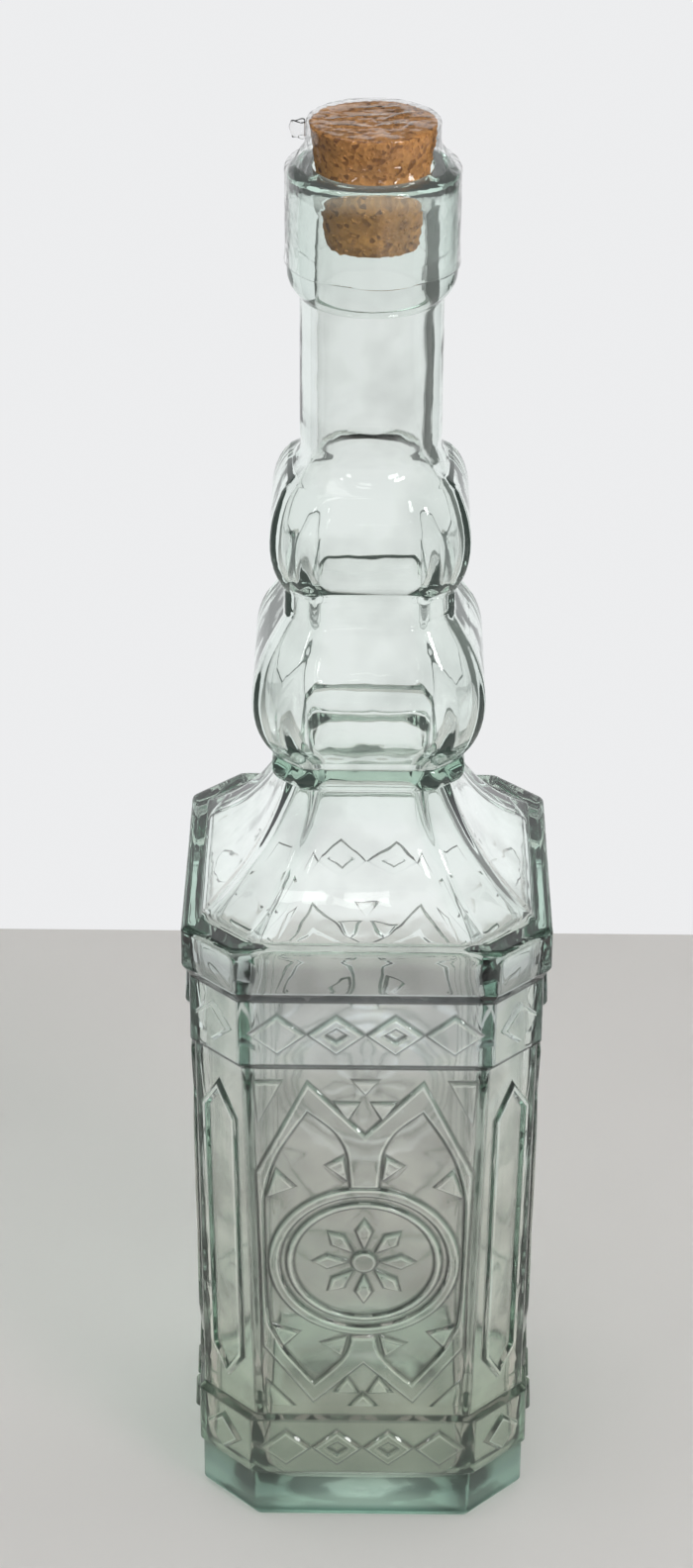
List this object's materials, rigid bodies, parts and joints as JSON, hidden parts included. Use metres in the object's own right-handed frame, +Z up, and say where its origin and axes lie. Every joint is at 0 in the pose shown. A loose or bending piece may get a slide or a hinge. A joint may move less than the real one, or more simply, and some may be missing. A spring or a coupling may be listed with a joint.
{
  "type": "corked glass oil bottle",
  "caption": "Square pale green pressed-glass oil bottle with a bulbed neck, tapered cork stopper and clear shrink film over the mouth.",
  "frame": {"origin": "centre of the base, on the surface the bottle stands on", "axes": "+Z up along the bottle's axis; the pictured face looks along -Y"},
  "size_m": [0.0764, 0.0764, 0.3113],
  "materials": {
    "glass": "gloss",
    "cork": "matte",
    "film": "gloss"
  },
  "bodies": {
    "bottle": {"bottle": "glass"},
    "cork": {"cork_stopper": "cork"},
    "film": {"shrink_film": "film"}
  },
  "joints": [
    {"name": "cork_pull", "type": "slide", "parent": "bottle", "child": "cork", "axis": [0, 0, 1], "range_m": [0, 0.035]},
    {"name": "film_lift", "type": "slide", "parent": "cork", "child": "film", "axis": [0, 0, 1], "range_m": [0, 0.035]}
  ]
}
